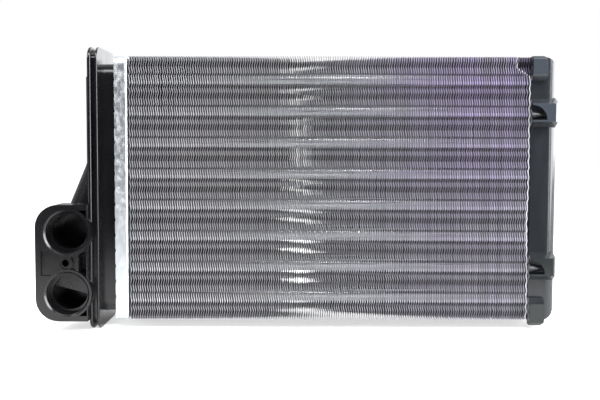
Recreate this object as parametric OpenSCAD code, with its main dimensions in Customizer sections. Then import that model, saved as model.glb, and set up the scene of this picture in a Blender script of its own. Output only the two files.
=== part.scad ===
// Vehicle heater core: round tubes in plate fins, two header pans with rubber gaskets,
// a moulded inlet and outlet tank with two ports, and a moulded return tank.
// X runs along the core from the port end, Y from the front face to the rear, Z upwards.

/* [Core] */
// Length of the fin pack between the two headers
core_len = 238; // [180:1:300]
// Height of the fins
core_h = 157; // [154:1:170]
// Depth of the fins, from the front face to the rear face
core_depth = 42; // [40:1:50]
// Distance from one fin to the next
fin_pitch = 1.4; // [1.2:0.1:3]
// Thickness of a fin's sheet
fin_t = 0.12; // [0.08:0.01:0.3]
// Groups that the fins are sorted into along the core
fin_groups = 2; // [1:4]

/* [Tubes] */
// Tubes in each of the two rows, counted from the bottom
tubes_per_row = 8; // [8]
// Outside diameter of a tube
tube_d = 7; // [5:0.5:8]
// Wall of a tube
tube_wall = 0.5; // [0.3:0.1:1]
// Height from one tube to the next
tube_rise = 18.6; // [17:0.1:18.8]
// Distance between the front row and the rear row
row_gap = 21; // [18:0.5:21.5]
// How far the tubes stand out of the gaskets
tube_stand = 1.6; // [1:0.1:3]
// How much the flared end of a tube grows in radius
tube_flare = 0.9; // [0.4:0.1:1.2]

/* [Headers] */
// Clear space between the inlet header and the first fin
inlet_gap = 0.7; // [0.3:0.1:2]
// Clear space between the return header and the last fin
return_gap = 1.6; // [1.5:0.1:3]
// Sheet thickness of the header pans
pan_wall = 1.5; // [1:0.1:2]
// How far the inlet header stands out beyond the fins at the front and the rear
inlet_proud = 1.5; // [1:0.1:3]
// How far the return header lies inside the fins' outline at the front and the rear
return_inset_y = 1.5; // [1:0.1:1.8]
// How far the return header lies inside the fins' outline at the top and the bottom
return_inset_z = 2.2; // [1:0.1:3]
// Corner radius of the header pans
pan_corner_r = 5; // [4:0.5:8]
// Radius of the pans' bent edge beside the fins
pan_bend_r = 1.4; // [0.8:0.1:2]
// Width of the lip that is crimped over the inlet tank's foot
lip_w = 2; // [1:0.1:2.2]
// Thickness of the crimped lip
lip_t = 1.2; // [0.8:0.1:2]
// Distance from one crimp mark to the next
crimp_pitch = 9.2; // [6:0.1:14]
// Depth of a crimp mark in the lip's edge
crimp_depth = 0.3; // [0.2:0.1:0.8]
// Height of the return pan's rim above its gasket
rim_h = 2.9; // [2:0.1:4]

/* [Gaskets] */
// Thickness of the rubber sheet
gasket_t = 2; // [1:0.1:3]
// Wall of the rubber sleeve round each tube
sleeve_wall = 1.2; // [0.8:0.1:1.4]
// Running clearance between a pan's wall and what lies in it
pan_clear = 0.1; // [0.05:0.05:0.3]

/* [Tanks] */
// Wall of the moulded tanks
tank_wall = 2.6; // [2:0.1:3]
// Thickness of the inlet tank's foot
foot_t = 2.9; // [2:0.1:4]
// Width of the foot outside the inlet tank's wall
foot_ledge = 2.4; // [2.3:0.1:3]
// Corner radius of the inlet tank's body
body_corner_r = 8; // [6:0.5:12]
// Length of the inlet tank's body between the header and the flange
neck_len = 8.9; // [6:0.1:20]
// Thickness of the wall that parts the inlet chamber from the outlet chamber
divider_t = 2.6; // [2:0.1:4]

/* [Flange] */
// How far the flange stands out beyond the core at the top and the bottom
flange_over_z = 5.3; // [4:0.1:10]
// How far the flange stands out beyond the core at the front and the rear
flange_over_y = 6; // [5:0.1:10]
// Thickness of the flange's outer lip
outer_lip_t = 2.3; // [1.5:0.1:4]
// Width of the seal groove
groove_w = 2.4; // [1.5:0.1:5]
// Thickness of the flange's inner lip
inner_lip_t = 1.4; // [1:0.1:3]
// Depth of the seal groove
groove_depth = 3.6; // [2:0.1:4.5]
// Corner radius of the flange
flange_corner_r = 8; // [6:0.5:12]

/* [Ports] */
// Distance between the two port axes
port_pitch = 36; // [33:0.5:40]
// Height of the lower port's axis above the flange's lower edge
port_height = 22.6; // [22:0.1:24]
// Distance from the flange's outer face to the port axes
port_offset = 11.5; // [10.5:0.1:12.5]
// How far the port mouths stand in front of the flange
port_proud = 7; // [4:0.5:12]
// Outside diameter of a port's barrel
barrel_d = 29.2; // [28.6:0.1:30]
// Length of a port's barrel
barrel_len = 39; // [37:0.5:50]
// Bevel at a barrel's closed end
barrel_bevel = 1.5; // [0.5:0.1:2.5]
// Diameter of the socket that takes a pipe's sealing ring
socket_d = 24.6; // [23:0.1:25.5]
// Depth of the socket
socket_depth = 9; // [6:0.5:12]
// Diameter of the passage behind the socket
passage_d = 21; // [18:0.5:22]
// Size of the bevel at the socket's mouth
mouth_bevel = 1; // [0.5:0.1:1.2]
// Distance from the lower socket's end to the baffle in its passage
baffle_depth = 8; // [5:0.5:10]
// Thickness of the baffle
baffle_t = 2.5; // [2:0.5:4]
// Slope of the baffle's lower edge in degrees
baffle_slope = 15; // [0:1:25]

/* [Port block] */
// Width of the block on the far side of the port axes
block_reach = 18.4; // [17:0.1:20]
// Height of the block beyond each port axis
block_over = 16.3; // [16:0.1:18]
// Corner radius of the block
block_corner_r = 13.4; // [10:0.1:14]
// Depth of the block's wall from front to rear
block_depth = 18; // [15:0.5:22]
// Thickness of the block's outer wall
block_wall = 3.2; // [2:0.1:4]
// Thickness of the block's front plate
plate_t = 4; // [3:0.1:6]
// How far the barrels stand out of the front plate
barrel_step = 0.7; // [0.3:0.1:1.5]
// Depth of the sunk panel between the ports
panel_depth = 1.6; // [1:0.1:2]
// Height of the sunk panel
panel_h = 14.6; // [12:0.1:16]
// Distance from the port axes to the rib beside the open pockets
rib_offset = 5; // [4:0.1:6]
// Thickness of that rib
rib_t = 2; // [1.5:0.1:3]
// Depth of the pockets between the block and the flange
pocket_depth = 12; // [8:0.5:14]
// Diameter of the hole for the pipe clamp's screw
screw_d = 4.2; // [3:0.1:5]
// Depth of the screw hole
screw_depth = 14; // [10:0.5:15]
// Diameter of the screw's boss
screw_boss_d = 9; // [8:0.1:11]
// Diameter of the shallow ring round the screw hole
screw_ring_d = 6.6; // [5.5:0.1:7.5]
// Depth of that ring
screw_ring_depth = 1; // [0.4:0.1:1.5]
// Distance from the port axes to the screw hole, away from the flange
screw_offset = 1; // [0:0.1:2]

/* [Riser duct] */
// Outside diameter of the duct that leads from the upper port to the upper chamber
duct_d = 19; // [17:0.5:20]
// Passage of the duct
duct_bore = 14; // [12:0.5:14.5]
// Lean of the duct from the vertical in degrees
duct_lean = 22.9; // [20:0.1:25]
// Distance from the duct's rear side to the barrels' closed ends
duct_inset = 1.5; // [1:0.1:4]
// Diameter of the lower port's passage into the lower chamber
cross_bore = 13; // [10:0.5:13.5]
// Thickness of the ribs on the tank's end face
end_rib_t = 2; // [1.5:0.1:3]
// Height of those ribs
end_rib_h = 2.4; // [1:0.1:5]
// Height of the lower cross rib above the core's middle
end_rib_rise = 33; // [30:0.5:50]

/* [Return tank] */
// Length of the return tank beyond the fins
return_len = 16.6; // [14:0.1:24]
// Wall of the skirt round the return header
skirt_wall = 2; // [1.5:0.1:3]
// Clearance between the skirt and the return header
skirt_clear = 0.2; // [0.1:0.05:0.4]
// Clear space between the skirt's edge and the last fin's plane
skirt_gap = 0.3; // [0.2:0.1:0.6]
// Width of the return tank's foot outside its hollow
return_foot_w = 2.5; // [2:0.1:2.6]
// Radius of the return tank's long outer edges
end_edge_r = 6.5; // [4:0.1:8]
// Radius of the return tank's outer corners, seen from the front
end_corner_r = 9.5; // [8:0.1:14]
// Thickness of the hooks behind the return header
hook_t = 1.1; // [0.8:0.1:1.2]
// How far the hooks reach over the header's edge
hook_reach = 1.4; // [1:0.1:2]

/* [Corner blocks] */
// Width of a corner block along the core
corner_w = 8.6; // [6:0.1:10]
// Height of a corner block
corner_h = 14.2; // [12:0.1:18]
// How far the corner blocks stand out of the return tank
corner_proud = 6.3; // [4:0.1:8]
// Bevel at a corner block's outer end
corner_bevel = 1.8; // [1:0.1:3]
// Slope at a corner block's inner end
corner_slope = 3.4; // [2:0.1:5]
// How far the lower corner blocks reach below the core
corner_foot = 2; // [1:0.1:5]
// Radius of the corner blocks' outer corner
corner_r = 3; // [1:0.1:4]

/* [Guide lugs] */
// Distance of a guide lug from the core's middle height
lug_place = 45.6; // [40:0.1:50]
// Height of a lug's front face
lug_face_h = 10.6; // [10:0.1:14]
// Height of the sloped faces above and below it
lug_slope = 3.4; // [2:0.1:5]
// Width of a lug along the core
lug_w = 14.8; // [12:0.1:16]
// Slope at the lug's outer end
lug_end_slope = 1.2; // [0.5:0.1:3]
// Radius of the arched recess
arch_r = 8.6; // [7:0.1:9]
// Depth of the arched recess
arch_depth = 5; // [3:0.1:6]
// Radius of the tongue in the recess at its root
tongue_r = 3.2; // [2:0.1:4]
// Radius of the tongue at its tip
tongue_tip_r = 1.2; // [0.5:0.1:2]

/* [Hidden] */
$fn = 72;
hair = 0.01;

fin_count = floor((core_len - fin_t) / fin_pitch) + 1;
fin_start = (core_len - fin_t - (fin_count - 1) * fin_pitch) / 2;
group_size = ceil(fin_count / fin_groups);

flange_h = core_h + 2 * flange_over_z;
flange_depth = core_depth + 2 * flange_over_y;
mid_z = flange_h / 2;

inlet_h = core_h;
inlet_depth = core_depth + 2 * inlet_proud;
return_h = core_h - 2 * return_inset_z;
return_depth = core_depth - 2 * return_inset_y;

inlet_plate = inlet_gap + pan_wall;
inlet_seat = inlet_plate + gasket_t;
inlet_foot = inlet_seat + foot_t;
inlet_lip = inlet_foot + lip_t;
flange_in = inlet_lip + neck_len;
flange_t = outer_lip_t + groove_w + inner_lip_t;
flange_out = flange_in + flange_t;

return_plate = return_gap + pan_wall;
return_seat = return_plate + gasket_t;
return_rim = return_seat + rim_h;

foot_h = inlet_h - 2 * (pan_wall + pan_clear);
foot_depth = inlet_depth - 2 * (pan_wall + pan_clear);
body_h = foot_h - 2 * foot_ledge;
body_depth = foot_depth - 2 * foot_ledge;
foot_corner_r = pan_corner_r - pan_wall - pan_clear;

hole_d = tube_d + 2 * sleeve_wall;

port_x = -flange_out - port_offset;
port_y = -flange_depth / 2 - port_proud;
port_low = port_height;
port_high = port_height + port_pitch;
port_mid = (port_low + port_high) / 2;
barrel_end = port_y + barrel_len;
passage_end = barrel_end - tank_wall;
plate_y = port_y + barrel_step;
duct_y = barrel_end - duct_d / 2 - duct_inset;
screw_x = port_x - screw_offset;

cap_depth = return_depth + 2 * (skirt_clear + skirt_wall);
cap_h = return_h + 2 * (skirt_clear + skirt_wall);
cap_foot_h = return_h - 2 * (pan_wall + pan_clear);
cap_foot_depth = return_depth - 2 * (pan_wall + pan_clear);
cap_in_h = cap_foot_h - 2 * return_foot_w;
cap_in_depth = cap_foot_depth - 2 * return_foot_w;

x_low = port_x - block_reach;
x_high = core_len + return_len;
y_low = port_y;
y_high = max(flange_depth / 2, cap_depth / 2 + corner_proud);
origin_shift = [-(x_low + x_high) / 2, -(y_low + y_high) / 2, 0];

group_numbers = [for (g = [1:fin_groups]) g];
row_numbers = [for (i = [1:tubes_per_row]) i];

// Placing

// The core's own frame: X from its port end, Y from its middle, Z from the flange's lower edge
module on_core() {
  translate(origin_shift) children();
}

// Local X is Y, local Y is Z from the core's middle, and local Z points out of the inlet end
module at_inlet() {
  on_core() translate([0, 0, mid_z]) mirror([1, 0, 0]) rotate([90, 0, 90]) children();
}

// The same at the other end of the core
module at_return() {
  on_core() translate([core_len, 0, mid_z]) rotate([90, 0, 90]) children();
}

function tube_z(i) = (i - (tubes_per_row + 1) / 2) * tube_rise;

module each_tube() {
  for (side = [-1, 1], i = row_numbers) translate([side * row_gap / 2, tube_z(i)]) children();
}

// Outlines and plates

module rounded_rect(w, h, r) {
  square([w - 2 * r, h], center = true);
  square([w, h - 2 * r], center = true);
  for (sx = [-1, 1], sy = [-1, 1]) translate([sx * (w / 2 - r), sy * (h / 2 - r)]) circle(r);
}

module slab(w, h, r, z0, z1) {
  translate([0, 0, z0]) linear_extrude(z1 - z0) rounded_rect(w, h, r);
}

// A plate whose edge has the profile given as child, drawn from a corner's centre outwards
module edged_plate(w, h, r, z0, z1) {
  translate([r - w / 2, r - h / 2, z0]) cube([w - 2 * r, h - 2 * r, z1 - z0]);
  for (k = [0:3]) {
    a = (k % 2 == 0 ? w : h) / 2 - r;
    b = (k % 2 == 0 ? h : w) / 2 - r;
    rotate([0, 0, 90 * k]) translate([a, b, 0]) {
      rotate([90, 0, 0]) linear_extrude(2 * b) children();
      rotate_extrude(angle = 90) children();
    }
  }
}

// Profile of a lip with a half-round edge, reaching r from the corner's centre
module lip_profile(r, z0, z1) {
  e = (z1 - z0) / 2;
  translate([0, z0]) square([r - e, z1 - z0]);
  translate([r - e, z0 + e]) circle(e);
}

// Profile of a wall whose lower edge is bent with radius e
module bend_profile(r, e, z0, z1) {
  translate([0, z0]) square([r - e, z1 - z0]);
  translate([0, z0 + e]) square([r, z1 - z0 - e]);
  translate([r - e, z0 + e]) circle(e);
}

// Fins and tubes

module fin_sheet() {
  difference() {
    square([core_depth, core_h], center = true);
    each_tube() circle(d = tube_d);
  }
}

module fins(group) {
  first = (group - 1) * group_size;
  last = min(group * group_size, fin_count) - 1;
  color([0.72, 0.72, 0.76])
    on_core() translate([fin_start, 0, mid_z])
      for (i = [first:last])
        translate([i * fin_pitch, 0, 0]) rotate([90, 0, 90]) linear_extrude(fin_t) fin_sheet();
}

// A tube with both ends flared over the gaskets
module tube(side, i) {
  r_out = tube_d / 2;
  r_in = r_out - tube_wall;
  x0 = -inlet_seat - tube_stand;
  x1 = core_len + return_seat + tube_stand;
  color([0.84, 0.85, 0.87])
    on_core() translate([0, side * row_gap / 2, mid_z + tube_z(i)]) rotate([0, 90, 0])
      translate([0, 0, x0]) rotate_extrude()
        polygon([
          [r_in, tube_stand],
          [r_in + tube_flare, 0],
          [r_out + tube_flare, 0],
          [r_out, tube_stand],
          [r_out, x1 - x0 - tube_stand],
          [r_out + tube_flare, x1 - x0],
          [r_in + tube_flare, x1 - x0],
          [r_in, x1 - x0 - tube_stand]
        ]);
}

// Headers and gaskets

// A sheet pan with a hole for the sleeve of each tube, hollow above its plate up to seat_top
module pan(w, h, gap, seat_top, top) {
  difference() {
    edged_plate(w, h, pan_corner_r, gap, top) bend_profile(pan_corner_r, pan_bend_r, gap, top);
    slab(w - 2 * pan_wall, h - 2 * pan_wall, pan_corner_r - pan_wall, gap + pan_wall, seat_top);
    translate([0, 0, gap - 1]) linear_extrude(pan_wall + 2) each_tube() circle(d = hole_d);
  }
}

// The row of marks that the crimping tool leaves in the lip
module crimp_marks() {
  mark_r = 3;
  marks = floor((inlet_h - 4 * pan_corner_r) / (2 * crimp_pitch));
  for (i = [-marks:marks])
    translate([0, i * crimp_pitch, inlet_lip + mark_r - crimp_depth])
      rotate([0, 90, 0]) cylinder(r = mark_r, h = inlet_depth + 2, center = true);
}

// The inlet pan's lip is crimped inwards over the tank's foot
module inlet_header() {
  opening = pan_wall + lip_w;
  color([0.86, 0.88, 0.9]) at_inlet() difference() {
    pan(inlet_depth, inlet_h, inlet_gap, inlet_foot, inlet_lip);
    slab(inlet_depth - 2 * opening, inlet_h - 2 * opening, pan_corner_r - pan_wall,
      inlet_foot - 1, inlet_lip + 1);
    crimp_marks();
  }
}

module return_header() {
  color([0.86, 0.88, 0.9]) at_return()
    pan(return_depth, return_h, return_gap, return_rim + 1, return_rim);
}

// A rubber sheet in the pan, with a sleeve round each tube that fills the pan's hole
module gasket(w, h, gap) {
  play = pan_wall + pan_clear;
  r = pan_corner_r - play;
  difference() {
    union() {
      slab(w - 2 * play, h - 2 * play, r, gap + pan_wall, gap + pan_wall + gasket_t);
      translate([0, 0, gap]) linear_extrude(pan_wall + hair) each_tube() circle(d = hole_d);
    }
    translate([0, 0, gap - 1]) linear_extrude(pan_wall + gasket_t + 2) each_tube() circle(d = tube_d);
  }
}

module inlet_gasket() {
  color([0.1, 0.1, 0.1]) at_inlet() gasket(inlet_depth, inlet_h, inlet_gap);
}

module return_gasket() {
  color([0.1, 0.1, 0.1]) at_return() gasket(return_depth, return_h, return_gap);
}

// Inlet and outlet tank

// The flange: two round-edged lips with the seal groove between them
module flange() {
  edged_plate(flange_depth, flange_h, flange_corner_r, flange_in, flange_out) {
    lip_profile(flange_corner_r, flange_out - outer_lip_t, flange_out);
    translate([0, flange_in]) square([flange_corner_r - groove_depth, flange_t]);
    lip_profile(flange_corner_r, flange_in, flange_in + inner_lip_t);
  }
}

module tank_shell() {
  slab(foot_depth, foot_h, foot_corner_r, inlet_seat, inlet_foot);
  slab(body_depth, body_h, body_corner_r, inlet_seat, flange_out);
  flange();
}

module tank_hollow() {
  slab(body_depth - 2 * tank_wall, body_h - 2 * tank_wall, body_corner_r - tank_wall,
    inlet_seat - 1, flange_out - tank_wall);
}

// The wall between the lower chamber and the upper one, which presses on the gasket
module divider() {
  translate([-body_depth / 2 + 1, -divider_t / 2, inlet_seat])
    cube([body_depth - 2, divider_t, flange_out - inlet_seat - tank_wall / 2]);
}

// Ribs on the outer face that stiffen it beside the block and above the duct
module end_ribs() {
  rib_half = body_h / 2 - body_corner_r;
  for (s = [-1, 1])
    translate([s * (body_depth / 2 - end_rib_t) - end_rib_t / 2, -rib_half, flange_out - hair])
      cube([end_rib_t, 2 * rib_half, end_rib_h]);
  for (z = [rib_half - end_rib_t, end_rib_rise])
    translate([-body_depth / 2 + end_rib_t, z, flange_out - hair])
      cube([body_depth - 2 * end_rib_t, end_rib_t, end_rib_h]);
}

// A cylinder that runs from the front to the rear
module along_y(d, x, y0, y1, z) {
  translate([x, y0, z]) rotate([-90, 0, 0]) cylinder(d = d, h = y1 - y0);
}

// The block's outline, drawn with X to the right and Z upwards, less an inset
module block_outline(inset) {
  r = block_corner_r - inset;
  left = port_x - block_reach + inset;
  low = port_low - block_over + inset;
  high = port_high + block_over - inset;
  right = -flange_out + 0.5;
  translate([left + r, low]) square([right - left - r, high - low]);
  translate([left, low + r]) square([right - left, high - low - 2 * r]);
  for (z = [low + r, high - r]) translate([left + r, z]) circle(r);
}

// Extrudes a front-view outline from y0 to y1
module from_front(y0, y1) {
  translate([0, y1, 0]) rotate([90, 0, 0]) linear_extrude(y1 - y0) children();
}

module barrels(d, y0, y1) {
  for (z = [port_low, port_high]) along_y(d, port_x, y0, y1, z);
}

module closed_barrels() {
  bevel_y = barrel_end - barrel_bevel;
  barrels(barrel_d, port_y, bevel_y);
  for (z = [port_low, port_high])
    translate([port_x, bevel_y, z]) rotate([-90, 0, 0])
      cylinder(d1 = barrel_d, d2 = barrel_d - 2 * barrel_bevel, h = barrel_bevel);
}

module block_walls() {
  difference() {
    from_front(plate_y, plate_y + block_depth) block_outline(0);
    from_front(plate_y + plate_t, plate_y + block_depth + 1) intersection() {
      block_outline(block_wall);
      translate([x_low, 0]) square([block_reach + rib_offset, port_high + barrel_d]);
    }
  }
}

// The pockets between the barrels, the rib and the flange
module block_pockets() {
  difference() {
    from_front(plate_y - 1, plate_y + pocket_depth) intersection() {
      block_outline(block_wall);
      translate([port_x + rib_offset + rib_t, 0])
        square([port_offset - rib_offset - rib_t, port_high + barrel_d]);
    }
    barrels(barrel_d, plate_y - 2, plate_y + pocket_depth + 1);
  }
}

// The sunk panel between the ports, with the screw's boss left standing
module block_panel() {
  difference() {
    translate([port_x - block_reach + block_wall, plate_y - 1, port_mid - panel_h / 2])
      cube([block_reach - block_wall + rib_offset, panel_depth + 1, panel_h]);
    barrels(barrel_d, plate_y - 2, plate_y + panel_depth + 1);
    along_y(screw_boss_d, screw_x, plate_y - 2, plate_y + panel_depth + 1, port_mid);
  }
}

// Clips what is outside the tank so that it ends inside the end wall
module outside_tank() {
  intersection() {
    children();
    translate([x_low - 5, -flange_depth, -5])
      cube([-flange_out + tank_wall / 2 - x_low + 5, 2 * flange_depth, flange_h]);
  }
}

// The slanting duct, drawn from the upper port's axis
module riser(d, z0) {
  run = (port_offset + duct_d) / sin(duct_lean);
  translate([port_x, duct_y, port_high]) rotate([0, duct_lean, 0])
    translate([0, 0, z0]) cylinder(d = d, h = run);
}

module port_solids() {
  difference() {
    union() {
      block_walls();
      closed_barrels();
      along_y(screw_boss_d, screw_x, plate_y + hair, plate_y + block_depth, port_mid);
    }
    block_pockets();
    block_panel();
  }
  outside_tank() riser(duct_d, 0);
}

module socket_and_passage(z) {
  along_y(socket_d, port_x, port_y - 1, port_y + socket_depth, z);
  along_y(passage_d, port_x, port_y, passage_end, z);
  translate([port_x, port_y - hair, z]) rotate([-90, 0, 0])
    cylinder(d1 = socket_d + 2 * mouth_bevel + 2 * hair, d2 = socket_d, h = mouth_bevel + hair);
}

// The upper port's way into the upper chamber, above the divider
module upper_way() {
  window_low = mid_z + divider_t / 2 + 1;
  window_high = port_high + (port_offset + duct_bore / 2 / cos(duct_lean)) / tan(duct_lean);
  window_w = duct_bore - 2;
  intersection() {
    riser(duct_bore, 0);
    translate([x_low, -flange_depth, 0])
      cube([-flange_out - x_low + hair, 2 * flange_depth, flange_h]);
  }
  translate([-flange_out - hair, duct_y - window_w / 2, window_low])
    cube([tank_wall + 1, window_w, window_high - window_low - 2]);
}

// The lower port's way into the lower chamber
module lower_way() {
  translate([port_x, duct_y, port_low]) rotate([0, 90, 0])
    cylinder(d = cross_bore, h = port_offset + tank_wall + 1);
}

// A flat wall that closes the upper part of the lower port's passage
module baffle() {
  y0 = port_y + socket_depth + baffle_depth;
  intersection() {
    along_y(passage_d + 1, port_x, y0, y0 + baffle_t, port_low);
    translate([port_x, y0 - 1, port_low]) rotate([0, baffle_slope, 0])
      translate([-passage_d, 0, 0]) cube([2 * passage_d, baffle_t + 2, passage_d]);
  }
}

module screw_hole() {
  along_y(screw_d, screw_x, port_y - 1, plate_y + screw_depth, port_mid);
  along_y(screw_ring_d, screw_x, port_y - 1, plate_y + screw_ring_depth, port_mid);
}

module inlet_tank() {
  color([0.12, 0.12, 0.13]) {
    difference() {
      union() {
        at_inlet() tank_shell();
        at_inlet() end_ribs();
        on_core() port_solids();
      }
      at_inlet() tank_hollow();
      on_core() {
        socket_and_passage(port_low);
        socket_and_passage(port_high);
        upper_way();
        lower_way();
        screw_hole();
      }
    }
    at_inlet() divider();
    on_core() baffle();
  }
}

// Return tank

// A form that is rounded along its long outer edges and at its outer corners
module cap_form(w, h, z0, z1, edge_r, corner) {
  intersection() {
    translate([0, h / 2, 0]) rotate([90, 0, 0]) linear_extrude(h) {
      translate([-w / 2, z0]) square([w, z1 - z0 - edge_r]);
      translate([-w / 2 + edge_r, z0]) square([w - 2 * edge_r, z1 - z0]);
      for (s = [-1, 1]) translate([s * (w / 2 - edge_r), z1 - edge_r]) circle(edge_r);
    }
    translate([-w / 2, 0, 0]) rotate([90, 0, 90]) linear_extrude(w) {
      translate([-h / 2, z0]) square([h, z1 - z0 - corner]);
      translate([-h / 2 + corner, z0]) square([h - 2 * corner, z1 - z0]);
      for (s = [-1, 1]) translate([s * (h / 2 - corner), z1 - corner]) circle(corner);
    }
  }
}

module cap_shell() {
  cap_form(cap_depth, cap_h, skirt_gap, return_len, end_edge_r, end_corner_r);
}

// The space for the header inside the skirt
module cap_slot() {
  slab(return_depth + 2 * skirt_clear, return_h + 2 * skirt_clear, pan_corner_r,
    skirt_gap - 1, return_rim + skirt_clear);
}

module cap_foot() {
  slab(cap_foot_depth, cap_foot_h, pan_corner_r - pan_wall - pan_clear,
    return_seat, return_rim + skirt_clear + hair);
}

module cap_hollow() {
  inner_r = pan_corner_r - pan_wall;
  intersection() {
    slab(cap_in_depth, cap_in_h, inner_r, return_seat - 1, return_len);
    cap_form(cap_depth - 2 * tank_wall, cap_h - 2 * tank_wall, skirt_gap - 2,
      return_len - tank_wall, end_edge_r - tank_wall, end_corner_r - tank_wall);
  }
}

// One corner block on the front, with its height direction given by up
module corner_block(up, drop) {
  root = cap_depth / 2 - 1;
  face = cap_depth / 2 + corner_proud;
  outer = cap_h / 2 + drop;
  inner = cap_h / 2 - corner_h;
  intersection() {
    linear_extrude(corner_w)
      polygon([
        [-root, up * outer],
        [-face + corner_bevel, up * outer],
        [-face, up * (outer - corner_bevel)],
        [-face, up * (inner + corner_slope)],
        [-face + corner_slope, up * inner],
        [-root, up * inner]
      ]);
    translate([-face - 1, 0, 0]) rotate([90, 0, 90]) linear_extrude(face - root + 2) {
      translate([min(up * (inner - 1), up * (outer - corner_r)), 0])
        square([outer - corner_r - inner + 1, corner_w]);
      translate([min(up * (inner - 1), up * outer), 0]) square([outer - inner + 1, corner_w - corner_r]);
      translate([up * (outer - corner_r), corner_w - corner_r]) circle(corner_r);
    }
  }
}

// A hook that reaches behind the header's edge under a corner block
module hook(up) {
  reach = return_depth / 2 - hook_reach;
  inner = cap_h / 2 - corner_h;
  translate([-cap_depth / 2 + 1, min(up * inner, up * (inner + corner_h - end_corner_r / 2)), skirt_gap])
    cube([cap_depth / 2 - 1 - reach, corner_h - end_corner_r / 2, hook_t]);
}

// The solid of a guide lug, centred on its own height
module lug_body() {
  root = cap_depth / 2 - 1;
  face = cap_depth / 2 + corner_proud;
  half = lug_face_h / 2;
  intersection() {
    linear_extrude(lug_w)
      polygon([
        [-root, -half - lug_slope],
        [-face, -half],
        [-face, half],
        [-root, half + lug_slope]
      ]);
    translate([0, half + lug_slope, 0]) rotate([90, 0, 0]) linear_extrude(lug_face_h + 2 * lug_slope)
      polygon([
        [-root, 0],
        [-face, 0],
        [-face, lug_w - lug_end_slope],
        [-face + lug_end_slope, lug_w],
        [-root, lug_w]
      ]);
  }
}

// The arched recess that opens towards the fins, and the tongue that stands in it
module guide_lug() {
  face = cap_depth / 2 + corner_proud;
  floor_x = -face + arch_depth;
  low = -lug_face_h / 2 + 1;
  difference() {
    lug_body();
    intersection() {
      translate([-face - 1, low, 0]) rotate([0, 90, 0]) cylinder(r = arch_r, h = arch_depth + 1);
      translate([-face - 2, low, -1]) cube([arch_depth + 2, arch_r + 1, arch_r + 2]);
    }
  }
  intersection() {
    translate([floor_x, low + tongue_r, 0]) cylinder(r1 = tongue_r, r2 = tongue_tip_r, h = arch_r);
    translate([-face, low, 0]) cube([face, lug_face_h, arch_r]);
  }
}

module cap_trim() {
  corner_block(1, 0);
  corner_block(-1, corner_foot);
  hook(1);
  hook(-1);
  for (s = [-1, 1]) translate([0, s * lug_place, 0]) guide_lug();
}

module return_tank() {
  color([0.16, 0.17, 0.18]) at_return() {
    difference() {
      union() {
        difference() {
          cap_shell();
          cap_slot();
        }
        cap_foot();
      }
      cap_hollow();
    }
    cap_trim();
    mirror([1, 0, 0]) cap_trim();
  }
}

for (g = group_numbers) {
  fins(g);
}
for (i = row_numbers) {
  tube(-1, i);
  tube(1, i);
}
inlet_header();
inlet_gasket();
inlet_tank();
return_header();
return_gasket();
return_tank();
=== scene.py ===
"""Looks of a vehicle heater core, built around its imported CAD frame.

Everything is in metres in the part's own frame: +X along the core from the port end, +Z up, and the ports open
towards -Y. The fins get their corrugated form here; the other pieces keep their solids and get materials.
"""

import math
import random

import bpy
from mathutils import Euler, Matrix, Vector

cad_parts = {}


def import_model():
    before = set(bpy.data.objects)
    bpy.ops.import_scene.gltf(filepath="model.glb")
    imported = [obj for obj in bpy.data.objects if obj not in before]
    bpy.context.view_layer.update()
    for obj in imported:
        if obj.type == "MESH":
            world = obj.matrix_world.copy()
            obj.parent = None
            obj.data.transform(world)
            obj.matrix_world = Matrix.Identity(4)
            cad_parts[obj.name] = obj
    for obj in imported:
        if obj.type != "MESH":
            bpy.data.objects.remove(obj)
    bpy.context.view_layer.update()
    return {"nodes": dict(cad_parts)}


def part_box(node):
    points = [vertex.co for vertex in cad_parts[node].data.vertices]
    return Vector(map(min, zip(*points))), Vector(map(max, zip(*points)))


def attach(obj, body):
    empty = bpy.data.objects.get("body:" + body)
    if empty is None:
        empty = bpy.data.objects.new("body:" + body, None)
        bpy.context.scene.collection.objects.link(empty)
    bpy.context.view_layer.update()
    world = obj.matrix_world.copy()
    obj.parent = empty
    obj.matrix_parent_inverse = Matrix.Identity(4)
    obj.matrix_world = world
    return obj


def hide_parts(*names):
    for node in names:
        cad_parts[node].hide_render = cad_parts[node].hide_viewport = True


MM = 0.001

# Camera, set from the photograph's perspective
CAMERA_PLACE = Vector((0.95, -578, 111.6)) * MM
CAMERA_PITCH = math.radians(3.50)
CAMERA_ROLL = math.radians(-0.12)
LENS = 56.5
SENSOR = 36.0

# Fin pack
FIN_COUNT = 170
FIN_SHEET = 0.12 * MM
TUBE_RISE = 18.6 * MM
# The curled hem along each front and rear edge
HEM_WIDTH = 0.5 * MM
HEM_DEPTH = 0.4 * MM
# Heights in mm of the folds above a tube's axis, with the side that each bulges to
FOLDS = ((1.9, -1), (3.7, 1), (7.6, -1), (10.6, 1), (13.5, -1), (16.0, 1))
FOLD_DEPTH = 0.35 * MM
# How far a sheet's middle bulges along the core between its front and rear edges
BOW = 0.8 * MM
# How far the edges stray from true, and at how many heights they do
EDGE_JITTER = 0.05 * MM
WAVE_POINTS = 9
# How much more than the others the last fin waves
LAST_WAVE = 3.5
FIRST_SEED = 11
# The upper front corner at the return end was knocked in: how many fins, how far down the last one is hit, how
# much less each of the others is, and how deep their edges were pushed
KNOCKED_FINS = 5.4
KNOCK_HEIGHT = 11.5 * MM
KNOCK_STEP = 1.0 * MM
KNOCK_DEPTH = 2.6 * MM

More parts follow.
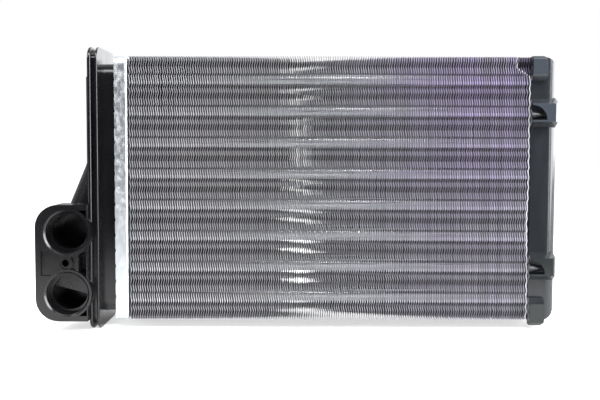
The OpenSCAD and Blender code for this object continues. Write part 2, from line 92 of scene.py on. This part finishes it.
# Fin sheet's looks: its metal, its tint at the return end, the dulling of single sheets and of clouds, the
# painted shade in the folds and in the knocked corner, and the painted highlight on that corner's rim and on
# the last fin's edge
SHEET_METAL = (0.63, 0.635, 0.67, 1)
SHEET_TINT = (0.66, 0.55, 0.88, 1)
SHEET_DULL = (0.26, 0.26, 0.28, 1)
SHEET_CLOUD = (0.40, 0.40, 0.42, 1)
SHEET_FOLD_SHADE = (0.015, 0.015, 0.018, 1)
SHEET_DENT_SHADE = (0.05, 0.05, 0.06, 1)
SHEET_EDGE_HIGHLIGHT = (0.80, 0.80, 0.86, 1)
# Where the tint comes in along the core and up it
TINT_ALONG = (0.0, 110 * MM)
TINT_UP = (30 * MM, 155 * MM)
# How much the hems are lifted from the rows' painted shade towards the full brightness
HEM_LEVEL = 0.33
# Painted shade in rows: brightness of the sheets by height above a tube's axis, as a share of the rise to the
# next tube
ROWS = (
    (0.00, 0.62), (0.10, 0.58), (0.13, 0.02), (0.17, 0.02), (0.21, 0.45), (0.36, 0.38), (0.41, 0.05),
    (0.55, 0.05), (0.60, 0.38), (0.69, 0.38), (0.74, 0.02), (0.82, 0.02), (0.87, 1.0), (0.93, 1.0),
    (0.96, 0.62), (1.00, 0.62),
)

# Shades of the other materials, each from its dark to its pale patches
HEADER_SHADES = ((0.77, 0.82, 0.87, 1), (0.90, 0.92, 0.94, 1))
HEADER_DULL = (0.60, 0.66, 0.72, 1)
TUBE_SHADES = ((0.80, 0.81, 0.83, 1), (0.95, 0.95, 0.96, 1))
RUBBER_SHADES = ((0.010, 0.010, 0.011, 1), (0.022, 0.022, 0.024, 1))
INLET_SHADES = ((0.005, 0.005, 0.006, 1), (0.010, 0.010, 0.012, 1))
RETURN_SHADES = ((0.016, 0.018, 0.021, 1), (0.030, 0.034, 0.040, 1))
# The port block's duller skin, and the painted sheen on the return tank's proud faces, lighter towards the
# top: each below and above the heights between which it changes
INLET_WORN = ((0.007, 0.007, 0.008, 1), (0.008, 0.008, 0.009, 1))
RETURN_PROUD_SHEEN = ((0.014, 0.018, 0.018, 1), (0.046, 0.054, 0.068, 1))
LIGHTER_TOP_HEIGHTS = (50 * MM, 130 * MM)
# Where the duller skin of the port block ends along X, and the painted sheen of the return tank's proud faces
# along Y
BLOCK_EDGE = (-126.0 * MM, -124.0 * MM)
PROUD_FACES = (-24.6 * MM, -24.0 * MM)

# Studio: the plain light from all sides, and what the glossy faces mirror in front of the object, behind it at
# the left and the right, and at its right side
AMBIENT = 0.6
ROOM_FRONT = (0.03, 0.033, 0.038, 1)
ROOM_LEFT = (0.45, 0.46, 0.48, 1)
ROOM_RIGHT = (3.2, 3.25, 3.3, 1)
ROOM_SIDE = (13.0, 13.2, 13.6, 1)
# The floor's paper: its glow for the camera, the share of it that is mirrored, its front edge, its other
# edges and its shade
FLOOR_GLOW = 0.62
MIRRORED_GLOW = 0.35
PAPER_FRONT = -0.27
PAPER_REACH = 4.0
PAPER_WHITE = (0.86, 0.86, 0.86, 1)
# Soft boxes, each with its place, width, height and power, all aimed at the middle of the object
LIGHT_TARGET = (0, 0, 0.08)
LIGHTS = (
    ("soft_box_left", (-0.75, -0.40, 0.70), 0.30, 0.50, 7),
    ("soft_box_right", (0.80, -0.35, 0.70), 0.30, 0.50, 7),
    ("soft_box_top", (0.0, -0.75, 1.25), 0.8, 0.4, 18),
    ("strip_right", (0.95, -0.85, 0.30), 0.12, 0.8, 4),
)


# Node helpers


def new_material(name):
    """A material with only a Principled shader, its tree and that shader."""
    material = bpy.data.materials.new(name)
    material.use_nodes = True
    tree = material.node_tree
    tree.nodes.clear()
    output = tree.nodes.new("ShaderNodeOutputMaterial")
    shader = tree.nodes.new("ShaderNodeBsdfPrincipled")
    tree.links.new(shader.outputs["BSDF"], output.inputs["Surface"])
    return material, tree, shader


def feed(tree, socket, value):
    """Links an output to a socket, or sets a plain value on it."""
    if isinstance(value, bpy.types.NodeSocket):
        tree.links.new(value, socket)
    else:
        socket.default_value = value


def object_place(tree):
    return tree.nodes.new("ShaderNodeTexCoord").outputs["Object"]


def split(tree, vector):
    node = tree.nodes.new("ShaderNodeSeparateXYZ")
    feed(tree, node.inputs[0], vector)
    return node.outputs


def stretched(tree, vector, scale):
    node = tree.nodes.new("ShaderNodeMapping")
    feed(tree, node.inputs["Vector"], vector)
    node.inputs["Scale"].default_value = scale
    return node.outputs[0]


def maths(tree, operation, a, b=0.0):
    node = tree.nodes.new("ShaderNodeMath")
    node.operation = operation
    feed(tree, node.inputs[0], a)
    feed(tree, node.inputs[1], b)
    return node.outputs[0]


def ranged(tree, value, low, high, out_low=0.0, out_high=1.0):
    """Maps low..high smoothly to out_low..out_high."""
    node = tree.nodes.new("ShaderNodeMapRange")
    node.interpolation_type = "SMOOTHSTEP"
    for name, each in (("Value", value), ("From Min", low), ("From Max", high),
                       ("To Min", out_low), ("To Max", out_high)):
        feed(tree, node.inputs[name], each)
    return node.outputs[0]


def noise(tree, vector, scale, detail=2.0, roughness=0.5):
    node = tree.nodes.new("ShaderNodeTexNoise")
    feed(tree, node.inputs["Vector"], vector)
    node.inputs["Scale"].default_value = scale
    node.inputs["Detail"].default_value = detail
    node.inputs["Roughness"].default_value = roughness
    return node.outputs["Fac"]


def blend(tree, factor, a, b):
    """Mixes two colours. The node's colour sockets share their names with its others, so they go by place."""
    color_a, color_b, result = 6, 7, 2
    node = tree.nodes.new("ShaderNodeMix")
    node.data_type = "RGBA"
    feed(tree, node.inputs["Factor"], factor)
    feed(tree, node.inputs[color_a], a)
    feed(tree, node.inputs[color_b], b)
    return node.outputs[result]


def bumped(tree, height, strength, distance, normal=None):
    node = tree.nodes.new("ShaderNodeBump")
    node.inputs["Strength"].default_value = strength
    node.inputs["Distance"].default_value = distance
    feed(tree, node.inputs["Height"], height)
    if normal is not None:
        feed(tree, node.inputs["Normal"], normal)
    return node.outputs[0]


# Materials


def hem_mask(tree, y, front, rear):
    """One at the front and rear edges of the sheets, and nothing between them."""
    deep = HEM_DEPTH + HEM_WIDTH
    return maths(tree, "ADD", ranged(tree, y, front + HEM_DEPTH, front + deep, 1, 0),
                 ranged(tree, y, rear - deep, rear - HEM_DEPTH))


def row_levels(tree, z, tube_z):
    """The brightness from ROWS, a painted shade in rows, repeated from tube to tube."""
    rise = maths(tree, "FRACT", maths(tree, "DIVIDE", maths(tree, "SUBTRACT", z, tube_z), TUBE_RISE))
    rows = tree.nodes.new("ShaderNodeValToRGB")
    feed(tree, rows.inputs["Fac"], rise)
    stops = rows.color_ramp.elements
    for k, (place_at, level) in enumerate(ROWS):
        stop = stops[k] if k < 2 else stops.new(place_at)
        stop.position = place_at
        stop.color = (level, level, level, 1)
    return rows.outputs["Color"]


def sheet_chance(tree, x, first_x, pitch):
    """A random value for each sheet."""
    chance = tree.nodes.new("ShaderNodeTexWhiteNoise")
    chance.noise_dimensions = "1D"
    number = maths(tree, "DIVIDE", maths(tree, "SUBTRACT", x, first_x - pitch / 2), pitch)
    feed(tree, chance.inputs["W"], maths(tree, "FLOOR", number))
    return chance.outputs["Value"]


def knocked_part(tree, x, z, last_x, top, pitch):
    """Where the pushed back corner of the fins gets painted shade, and where its rim gets a painted highlight.
    """
    from_end = maths(tree, "DIVIDE", maths(tree, "SUBTRACT", last_x, x), pitch)
    reach = maths(tree, "SUBTRACT", KNOCK_HEIGHT / MM, maths(tree, "MULTIPLY", from_end, KNOCK_STEP / MM))
    below = maths(tree, "DIVIDE", maths(tree, "SUBTRACT", top, z), MM)
    inside = maths(tree, "MINIMUM", maths(tree, "SUBTRACT", reach, below),
                   maths(tree, "SUBTRACT", KNOCKED_FINS, from_end))
    rim_highlight = ranged(tree, maths(tree, "ABSOLUTE", inside), 0.2, 0.6, 0.85, 0)
    return ranged(tree, inside, 0.2, 1.0), rim_highlight


def fin_material(low, high, tube_z, pitch):
    """Thin stamped sheet with painted shade in rows between the tubes, less of it on the hems, painted shade
    in the knocked corner, painted highlights on that corner's rim and the last fin's edge, and a tint towards
    the upper return end.
    """
    material, tree, shader = new_material("fin_sheet")
    place = object_place(tree)
    x, y, z = split(tree, place)
    hem = hem_mask(tree, y, low.y, high.y)
    cloud = noise(tree, stretched(tree, place, (1, 1, 2.5)), 28, 3)
    # The rows' painted shade, lifted on the hems; it also sets how metallic the sheet is
    level = ranged(tree, maths(tree, "MULTIPLY", hem, HEM_LEVEL), 0, 1, row_levels(tree, z, tube_z), 1)

    along = ranged(tree, x, *TINT_ALONG)
    up = ranged(tree, z, *TINT_UP, 0.3, 1)
    tint = maths(tree, "MULTIPLY", maths(tree, "MULTIPLY", along, up), ranged(tree, cloud, 0.35, 0.6, 0.5, 1))
    metal = blend(tree, tint, SHEET_METAL, SHEET_TINT)
    chance = sheet_chance(tree, x, low.x, pitch)
    metal = blend(tree, ranged(tree, chance, 0, 1, 0, 0.42), metal, SHEET_DULL)
    metal = blend(tree, ranged(tree, cloud, 0.3, 0.7, 0, 0.25), metal, SHEET_CLOUD)
    # Painted shade in the rows between the tubes
    metal = blend(tree, level, SHEET_FOLD_SHADE, metal)

    # Painted shade in the knocked corner, and painted highlights on its rim and on the last fin's hem
    dent_shade, rim_highlight = knocked_part(tree, x, z, high.x, high.z, pitch)
    last = maths(tree, "MULTIPLY", hem, ranged(tree, x, high.x - pitch * 0.75, high.x - pitch * 0.5))
    metal = blend(tree, maths(tree, "MULTIPLY", dent_shade, 0.35), metal, SHEET_DENT_SHADE)
    metal = blend(tree, maths(tree, "MAXIMUM", last, rim_highlight), metal, SHEET_EDGE_HIGHLIGHT)
    feed(tree, shader.inputs["Base Color"], metal)
    feed(tree, shader.inputs["Roughness"], ranged(tree, cloud, 0.3, 0.7, 0.34, 0.50))
    feed(tree, shader.inputs["Metallic"], maths(tree, "MULTIPLY", level, 0.4))
    shader.inputs["Specular IOR Level"].default_value = 0.0
    return material


def header_material():
    """Bright pressed sheet with the soft mottling of soft aluminium that was bent and handled."""
    material, tree, shader = new_material("header_metal")
    place = object_place(tree)
    blotch = noise(tree, stretched(tree, place, (1, 1, 0.6)), 480, 4, 0.6)
    broad = noise(tree, place, 35, 2)
    metal = blend(tree, ranged(tree, blotch, 0.35, 0.68), *HEADER_SHADES)
    metal = blend(tree, ranged(tree, broad, 0.35, 0.7, 0, 0.35), metal, HEADER_DULL)
    feed(tree, shader.inputs["Base Color"], metal)
    feed(tree, shader.inputs["Roughness"], ranged(tree, blotch, 0.3, 0.7, 0.36, 0.52))
    feed(tree, shader.inputs["Normal"], bumped(tree, blotch, 0.04, 0.12 * MM))
    shader.inputs["Metallic"].default_value = 1.0
    return material


def tube_material():
    """Drawn aluminium with faint lines along the tube."""
    material, tree, shader = new_material("tube_metal")
    place = object_place(tree)
    lines = noise(tree, stretched(tree, place, (0.02, 1, 1)), 1500, 2)
    metal = blend(tree, ranged(tree, lines, 0.3, 0.7), *TUBE_SHADES)
    feed(tree, shader.inputs["Base Color"], metal)
    feed(tree, shader.inputs["Roughness"], ranged(tree, lines, 0.3, 0.7, 0.25, 0.40))
    shader.inputs["Metallic"].default_value = 1.0
    return material


def plastic_material(name, shades, dull_and_sheen_shades, axis, dull_and_sheen_edge):
    """Glossy moulded plastic with flow marks, and a duller skin that ends at an edge along an axis and changes
    colour with height; on the return tank's proud faces that colour is a painted sheen, lighter towards the
    top.
    """
    material, tree, shader = new_material(name)
    place = object_place(tree)
    sides = split(tree, place)
    grain = noise(tree, place, 2600, 2)
    flow = noise(tree, stretched(tree, place, (1, 1, 0.35)), 42, 3)
    dull_and_sheen = ranged(tree, sides[axis], *dull_and_sheen_edge, 1, 0)
    skin = blend(tree, ranged(tree, flow, 0.35, 0.7), *shades)
    # The duller skin's colour by height; on the return tank a painted sheen, lighter towards the top
    dull_and_sheen_skin = blend(tree, ranged(tree, sides["Z"], *LIGHTER_TOP_HEIGHTS), *dull_and_sheen_shades)
    feed(tree, shader.inputs["Base Color"], blend(tree, dull_and_sheen, skin, dull_and_sheen_skin))
    gloss = maths(tree, "ADD", ranged(tree, flow, 0.3, 0.7, 0.14, 0.24),
                  ranged(tree, grain, 0.3, 0.7, -0.03, 0.03))
    feed(tree, shader.inputs["Roughness"], maths(tree, "ADD", gloss, maths(tree, "MULTIPLY", dull_and_sheen, 0.03)))
    slow = bumped(tree, flow, 0.10, 0.6 * MM)
    feed(tree, shader.inputs["Normal"], bumped(tree, grain, 0.12, 0.05 * MM, slow))
    shader.inputs["IOR"].default_value = 1.52
    return material


def rubber_material():
    """Matt black rubber with a fine grain."""
    material, tree, shader = new_material("gasket_rubber")
    grain = noise(tree, object_place(tree), 1800, 3)
    shade = blend(tree, ranged(tree, grain, 0.3, 0.7), *RUBBER_SHADES)
    feed(tree, shader.inputs["Base Color"], shade)
    feed(tree, shader.inputs["Normal"], bumped(tree, grain, 0.3, 0.08 * MM))
    shader.inputs["Roughness"].default_value = 0.78
    return material


def dress(nodes, names, material):
    """Gives the solids of these names one material."""
    for name in names:
        nodes[name].data.materials.clear()
        nodes[name].data.materials.append(material)


# Fins


def fold_levels(low, high, tube_z):
    """Heights of the folds from low to high, each with its offset along the core."""
    levels = [(low, 0.0)]
    first = math.floor((low - tube_z) / TUBE_RISE)
    last = math.ceil((high - tube_z) / TUBE_RISE)
    for rise in range(first, last):
        for above, side in FOLDS:
            z = tube_z + rise * TUBE_RISE + above * MM
            if low + MM / 2 < z < high - MM / 2:
                levels.append((z, side * FOLD_DEPTH))
    levels.append((high, 0.0))
    return levels


def sheet_faces(base, wide, tall):
    """Quads of a closed sheet whose two sides are grids of wide by tall points, one after the other."""
    back = base + wide * tall
    faces = []
    for j in range(tall - 1):
        for k in range(wide - 1):
            a = base + j * wide + k
            b = back + j * wide + k
            faces.append((a, a + wide, a + wide + 1, a + 1))
            faces.append((b, b + 1, b + wide + 1, b + wide))
        a, b = base + j * wide, back + j * wide
        faces.append((a, b, b + wide, a + wide))
        a, b = a + wide - 1, b + wide - 1
        faces.append((a, a + wide, b + wide, b))
    for k in range(wide - 1):
        a, b = base + k, back + k
        faces.append((a, a + 1, b + 1, b))
        a, b = base + (tall - 1) * wide + k, back + (tall - 1) * wide + k
        faces.append((a, b, b + 1, a + 1))
    return faces


def knocked(from_end, below_top):
    """How far a fin's front edge was pushed back, where the upper corner was knocked in."""
    inside = min((KNOCK_HEIGHT - from_end * KNOCK_STEP - below_top) / MM, KNOCKED_FINS - from_end)
    return KNOCK_DEPTH * min(max(inside, 0.0), 1.0)


def corrugated_fins(name, node, first, count, tube_z, seed):
    """The sheets of one group, from the first on, each folded along its height and its edges out of true."""
    low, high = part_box(node)
    pitch = (high.x - low.x - FIN_SHEET) / (count - 1)
    levels = fold_levels(low.z, high.z, tube_z)
    middle = (low.y + high.y) / 2
    rows = [low.y, low.y + HEM_DEPTH, low.y + 2 * HEM_DEPTH, middle,
            high.y - 2 * HEM_DEPTH, high.y - HEM_DEPTH, high.y]
    thick = [HEM_WIDTH, HEM_WIDTH, FIN_SHEET, FIN_SHEET, FIN_SHEET, HEM_WIDTH, HEM_WIDTH]
    rng = random.Random(seed)
    points, faces = [], []
    for i in range(count):
        x = low.x + i * pitch + FIN_SHEET / 2
        at_front, at_rear = rng.gauss(0, EDGE_JITTER), rng.gauss(0, EDGE_JITTER)
        lean = [at_front, at_front, at_front, BOW, at_rear, at_rear, at_rear]
        from_end = FIN_COUNT - 1 - (first + i)
        wave = EDGE_JITTER * (LAST_WAVE if from_end == 0 else 1)
        drift = [rng.gauss(0, wave) for _ in range(WAVE_POINTS)]
        base = len(points)
        for side in (-0.5, 0.5):
            for z, dx in levels:
                span = (z - low.z) / (high.z - low.z) * (len(drift) - 1)
                k = min(int(span), len(drift) - 2)
                wander = drift[k] + (drift[k + 1] - drift[k]) * (span - k)
                knock = knocked(from_end, high.z - z)
                for r, y in enumerate(rows):
                    at_edge = 0 if y == middle else wander
                    deep = knock if y < middle else 0
                    points.append((x + side * thick[r] + dx + lean[r] + at_edge, y + deep, z))
        faces += sheet_faces(base, len(rows), len(levels))
    mesh = bpy.data.meshes.new(name)
    mesh.from_pydata(points, [], faces)
    mesh.validate()
    piece = bpy.data.objects.new(name, mesh)
    bpy.context.scene.collection.objects.link(piece)
    return piece


# Studio


def studio_world():
    """White where it is seen, mirrored as a lit backdrop behind a dark room, and plain where it lights."""
    world = bpy.data.worlds.new("studio")
    world.use_nodes = True
    tree = world.node_tree
    tree.nodes.clear()
    output = tree.nodes.new("ShaderNodeOutputWorld")
    background = tree.nodes.new("ShaderNodeBackground")
    tree.links.new(background.outputs[0], output.inputs["Surface"])
    x, y, _ = split(tree, tree.nodes.new("ShaderNodeTexCoord").outputs["Generated"])
    path = tree.nodes.new("ShaderNodeLightPath").outputs
    backdrop = blend(tree, ranged(tree, x, -0.3, 0.5), ROOM_LEFT, ROOM_RIGHT)
    room = blend(tree, ranged(tree, y, -0.15, 0.25), ROOM_FRONT, backdrop)
    room = blend(tree, ranged(tree, x, 0.80, 0.92), room, ROOM_SIDE)
    plain = blend(tree, path["Is Camera Ray"], (AMBIENT, AMBIENT, AMBIENT, 1), (1, 1, 1, 1))
    feed(tree, background.inputs["Color"], blend(tree, path["Is Glossy Ray"], plain, room))
    bpy.context.scene.world = world


def white_floor():
    """A pale floor that keeps the object's shadow and is white where the camera sees it."""
    mesh = bpy.data.meshes.new("floor")
    far = PAPER_REACH
    corners = [(-far, PAPER_FRONT, 0), (far, PAPER_FRONT, 0), (far, far, 0), (-far, far, 0)]
    mesh.from_pydata(corners, [], [(0, 1, 2, 3)])
    floor = bpy.data.objects.new("floor", mesh)
    bpy.context.scene.collection.objects.link(floor)
    material, tree, shader = new_material("floor_paper")
    shader.inputs["Base Color"].default_value = PAPER_WHITE
    shader.inputs["Roughness"].default_value = 0.9
    shader.inputs["Emission Color"].default_value = (1, 1, 1, 1)
    path = tree.nodes.new("ShaderNodeLightPath").outputs
    mirrored = maths(tree, "MULTIPLY", path["Is Glossy Ray"], MIRRORED_GLOW)
    seen = maths(tree, "MAXIMUM", path["Is Camera Ray"], mirrored)
    feed(tree, shader.inputs["Emission Strength"], maths(tree, "MULTIPLY", seen, FLOOR_GLOW))
    mesh.materials.append(material)


def soft_box(name, place, width, height, power):
    """A rectangular light aimed at the object."""
    light = bpy.data.lights.new(name, "AREA")
    light.shape = "RECTANGLE"
    light.size = width
    light.size_y = height
    light.energy = power
    lamp = bpy.data.objects.new(name, light)
    bpy.context.scene.collection.objects.link(lamp)
    lamp.location = place
    lamp.rotation_euler = (Vector(LIGHT_TARGET) - Vector(place)).to_track_quat("-Z", "Y").to_euler()


def photo_camera():
    """The camera at the photograph's place, level apart from its pitch and a slight roll."""
    data = bpy.data.cameras.new("camera")
    data.lens = LENS
    data.sensor_width = SENSOR
    data.clip_start = 0.01
    data.clip_end = 50
    camera = bpy.data.objects.new("camera", data)
    bpy.context.scene.collection.objects.link(camera)
    camera.location = CAMERA_PLACE
    camera.rotation_euler = Euler((math.pi / 2 - CAMERA_PITCH, CAMERA_ROLL, 0))
    bpy.context.scene.camera = camera


def main():
    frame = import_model()
    bpy.context.scene.view_settings.view_transform = "Standard"
    nodes = frame["nodes"]

    photo_camera()
    studio_world()
    for light in LIGHTS:
        soft_box(*light)
    white_floor()

    low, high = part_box("tube_front_1")
    tube_z = (low.z + high.z) / 2
    fins_low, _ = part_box("fins_1")
    _, fins_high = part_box("fins_2")
    pitch = (fins_high.x - fins_low.x - FIN_SHEET) / (FIN_COUNT - 1)
    fins = fin_material(fins_low, fins_high, tube_z, pitch)
    group = FIN_COUNT // 2
    for k, node in enumerate(("fins_1", "fins_2")):
        piece = corrugated_fins(f"corrugated_{node}", node, k * group, group, tube_z, FIRST_SEED + k)
        piece.data.materials.append(fins)
        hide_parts(node)
        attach(piece, "root")

    tubes = [name for name in nodes if name.startswith("tube_")]
    dress(nodes, tubes, tube_material())
    dress(nodes, ["inlet_header", "return_header"], header_material())
    dress(nodes, ["inlet_gasket", "return_gasket"], rubber_material())
    inlet_plastic = plastic_material("inlet_plastic", INLET_SHADES, INLET_WORN, "X", BLOCK_EDGE)
    # The return tank's proud faces carry a painted sheen, lighter towards the top
    return_plastic = plastic_material("return_plastic", RETURN_SHADES, RETURN_PROUD_SHEEN, "Y", PROUD_FACES)
    dress(nodes, ["inlet_tank"], inlet_plastic)
    dress(nodes, ["return_tank"], return_plastic)


main()
